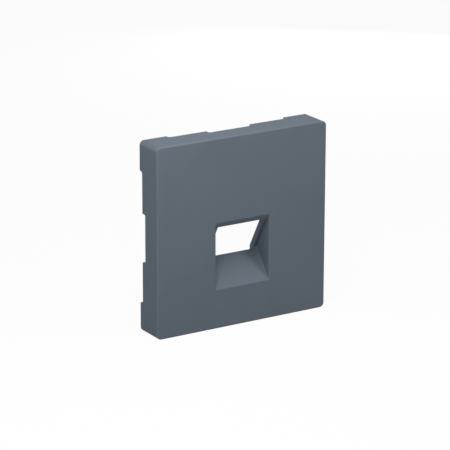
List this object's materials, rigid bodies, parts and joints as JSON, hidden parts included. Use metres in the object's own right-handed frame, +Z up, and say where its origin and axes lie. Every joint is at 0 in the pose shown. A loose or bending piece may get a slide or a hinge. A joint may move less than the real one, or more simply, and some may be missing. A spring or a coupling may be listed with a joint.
{
  "type": "keystone faceplate",
  "caption": "Square wall outlet cover plate with a slanted, recessed window for a snap-in data jack, open behind, with stepped clearances in its rear rim.",
  "frame": {"origin": "middle of the plate's footprint: centre of the bottom edge, half way through the depth", "axes": "+X to the right seen from the front, +Y from the front face to the open back, +Z up"},
  "size_m": [0.055, 0.0094, 0.055],
  "materials": {
    "plastic": "fine matte moulded thermoplastic, slate grey"
  },
  "bodies": {
    "root": {"faceplate": "plastic"}
  },
  "joints": []
}
